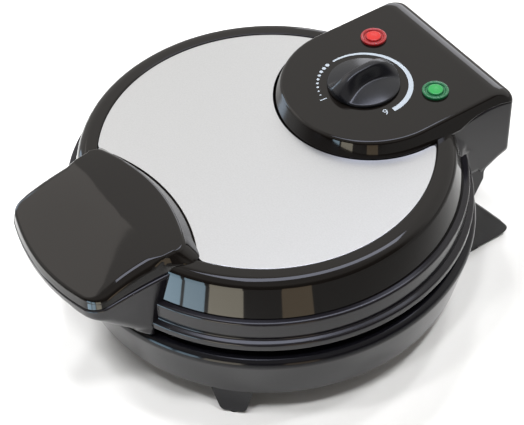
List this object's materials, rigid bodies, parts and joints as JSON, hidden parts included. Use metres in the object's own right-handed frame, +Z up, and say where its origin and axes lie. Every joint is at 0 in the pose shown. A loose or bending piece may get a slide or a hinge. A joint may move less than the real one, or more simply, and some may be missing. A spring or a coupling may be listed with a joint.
{
  "type": "walnut cookie maker",
  "caption": "Round countertop cooker with a hinged lid and half-nut mould plates, a bow-tip handle, a control panel with a dial knob and two lamps, on splayed feet.",
  "frame": {"origin": "middle of the footprint at floor level, under the pads", "axes": "+Y from the handle towards the hinge (the longest extent), +Z up, +X to the right seen from the handle"},
  "size_m": [0.241, 0.2846, 0.1238],
  "materials": {
    "gloss_black": "gloss",
    "dark_grey": "satin gloss",
    "knob_black": "gloss",
    "satin_steel": "satin",
    "coated_aluminium": "non-stick coating, satin",
    "plain_aluminium": "mill finish",
    "steel": "plain",
    "heater_steel": "oxidised",
    "brass": "turned",
    "foot_black": "matte",
    "cover_black": "matte",
    "ceramic": "matte, stands in for ceramic",
    "terminal_plastic": "matte",
    "rubber": "matte",
    "red_lens": "clear red, gloss",
    "green_lens": "clear green, gloss",
    "lamp_glass": "clear"
  },
  "bodies": {
    "base": {"base_shell": "dark_grey", "cord_gland": "rubber", "bottom_cover": "cover_black", "bottom_cover_screws": "steel", "lower_plate_screws": "steel", "lower_plate_posts": "steel", "lower_mould_plate": "coated_aluminium", "lower_heater": "heater_steel", "lower_reflector": "plain_aluminium", "front_feet": "foot_black", "rear_legs": "foot_black", "foot_pads": "rubber", "terminal_block": "terminal_plastic", "hinge_bushes": "brass", "hinge_pins": "steel"},
    "lid": {"lid_cover": "gloss_black", "lid_cover_screws": "steel", "top_plate": "satin_steel", "lid_housing": "dark_grey", "upper_mould_plate": "coated_aluminium", "upper_heater": "heater_steel", "upper_reflector": "plain_aluminium", "upper_plate_posts": "steel", "upper_plate_screws": "steel", "thermostat_bracket": "steel", "thermostat_body": "ceramic", "thermostat_nut": "brass", "red_lamp_lens": "red_lens", "green_lamp_lens": "green_lens", "neon_lamps": "lamp_glass", "thermal_fuse": "plain_aluminium", "fuse_strap": "steel"},
    "knob": {"knob": "knob_black", "thermostat_shaft": "steel", "knob_spring_ring": "steel"}
  },
  "joints": [
    {"name": "lid_hinge", "type": "hinge", "parent": "base", "child": "lid", "pos_m": [0, 0.12725, 0.06], "axis": [-1, 0, 0], "range_deg": [0, 100]},
    {"name": "knob_turn", "type": "hinge", "parent": "lid", "child": "knob", "pos_m": [0, 0.07305, 0.11], "axis": [0, 0, 1], "range_deg": [-120, 154]}
  ]
}
